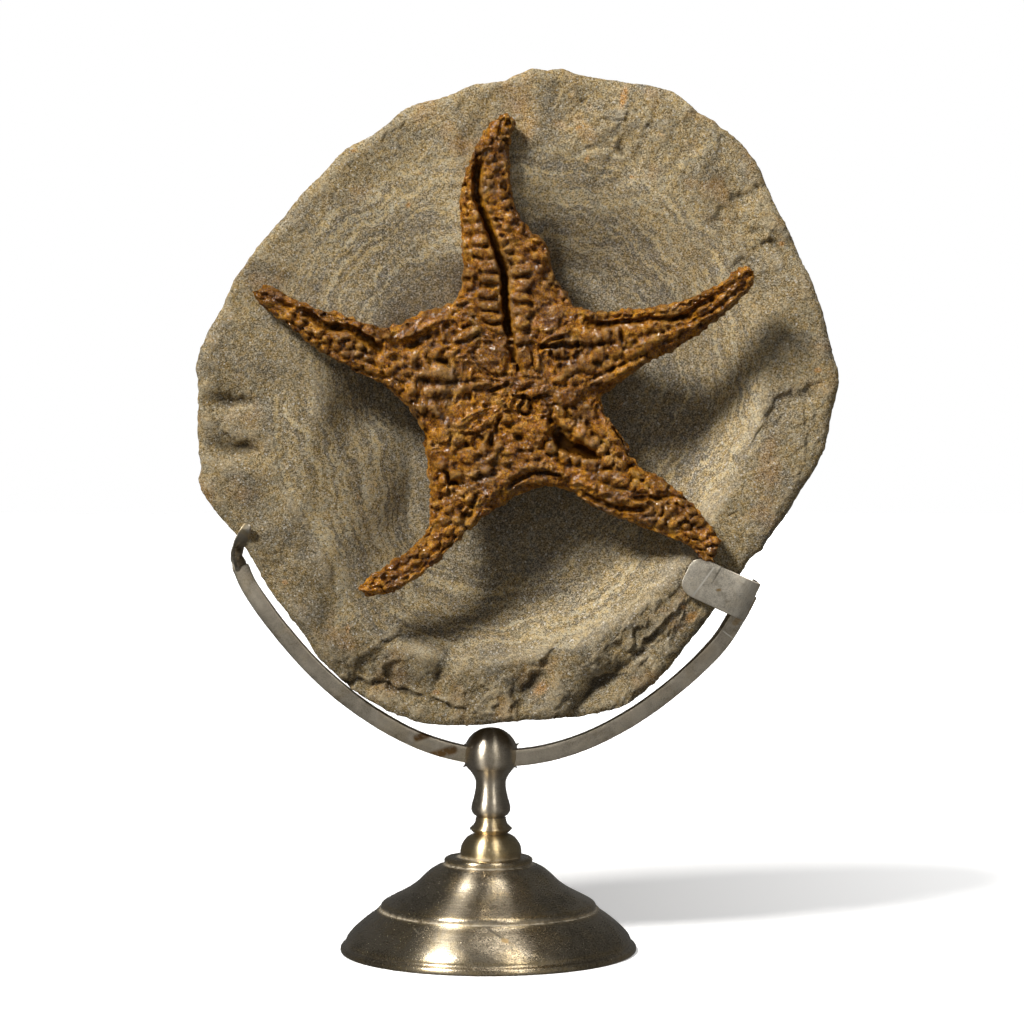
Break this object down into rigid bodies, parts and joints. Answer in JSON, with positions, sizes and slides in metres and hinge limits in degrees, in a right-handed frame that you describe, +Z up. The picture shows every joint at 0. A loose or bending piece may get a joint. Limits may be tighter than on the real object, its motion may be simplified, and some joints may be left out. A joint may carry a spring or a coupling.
{
  "type": "fossil starfish plate on a stand",
  "caption": "Rust-brown fossil starfish in a dished siltstone slab, cradled upright by a bent bar on a turned round metal stand.",
  "frame": {"origin": "centre of the stand's round underside", "axes": "+Z up; the starfish faces -Y; +X is to the right seen from the front"},
  "size_m": [0.2334, 0.1084, 0.3218],
  "materials": {
    "siltstone": "matte",
    "fossil": "satin",
    "aged_nickel": "satin",
    "brassy_nickel": "satin"
  },
  "bodies": {
    "root": {"matrix_slab": "siltstone", "starfish": "fossil", "cradle_strap": "aged_nickel", "left_clip": "aged_nickel", "right_clip": "aged_nickel", "post": "aged_nickel", "collar": "brassy_nickel", "base_cap": "brassy_nickel", "stand_base": "aged_nickel"}
  },
  "joints": []
}
